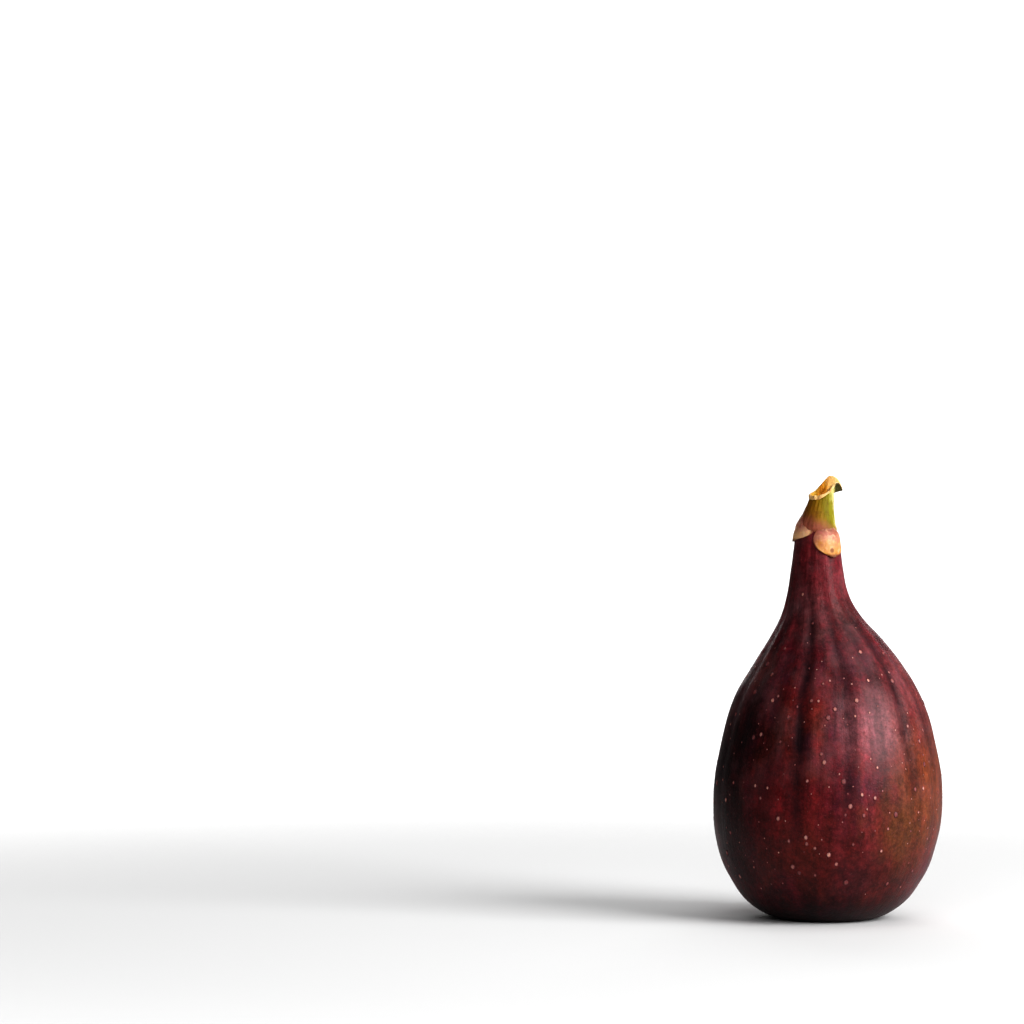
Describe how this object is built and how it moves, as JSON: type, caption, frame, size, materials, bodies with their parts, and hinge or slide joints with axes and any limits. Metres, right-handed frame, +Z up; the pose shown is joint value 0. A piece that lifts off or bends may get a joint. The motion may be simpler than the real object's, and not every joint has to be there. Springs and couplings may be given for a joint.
{
  "type": "fresh fig",
  "caption": "Whole ripe fig standing on its blossom end, with a ribbed dark skin, a narrow neck and a cut stalk with scale bracts.",
  "frame": {"origin": "on the resting surface, under the middle of the fruit's box", "axes": "+Z up from the blossom end to the stalk, -Y towards the front"},
  "size_m": [0.0359, 0.0359, 0.0697],
  "materials": {
    "skin": "satin",
    "stalk": "matte"
  },
  "bodies": {
    "root": {"fruit": "skin", "stalk": "stalk"}
  },
  "joints": []
}
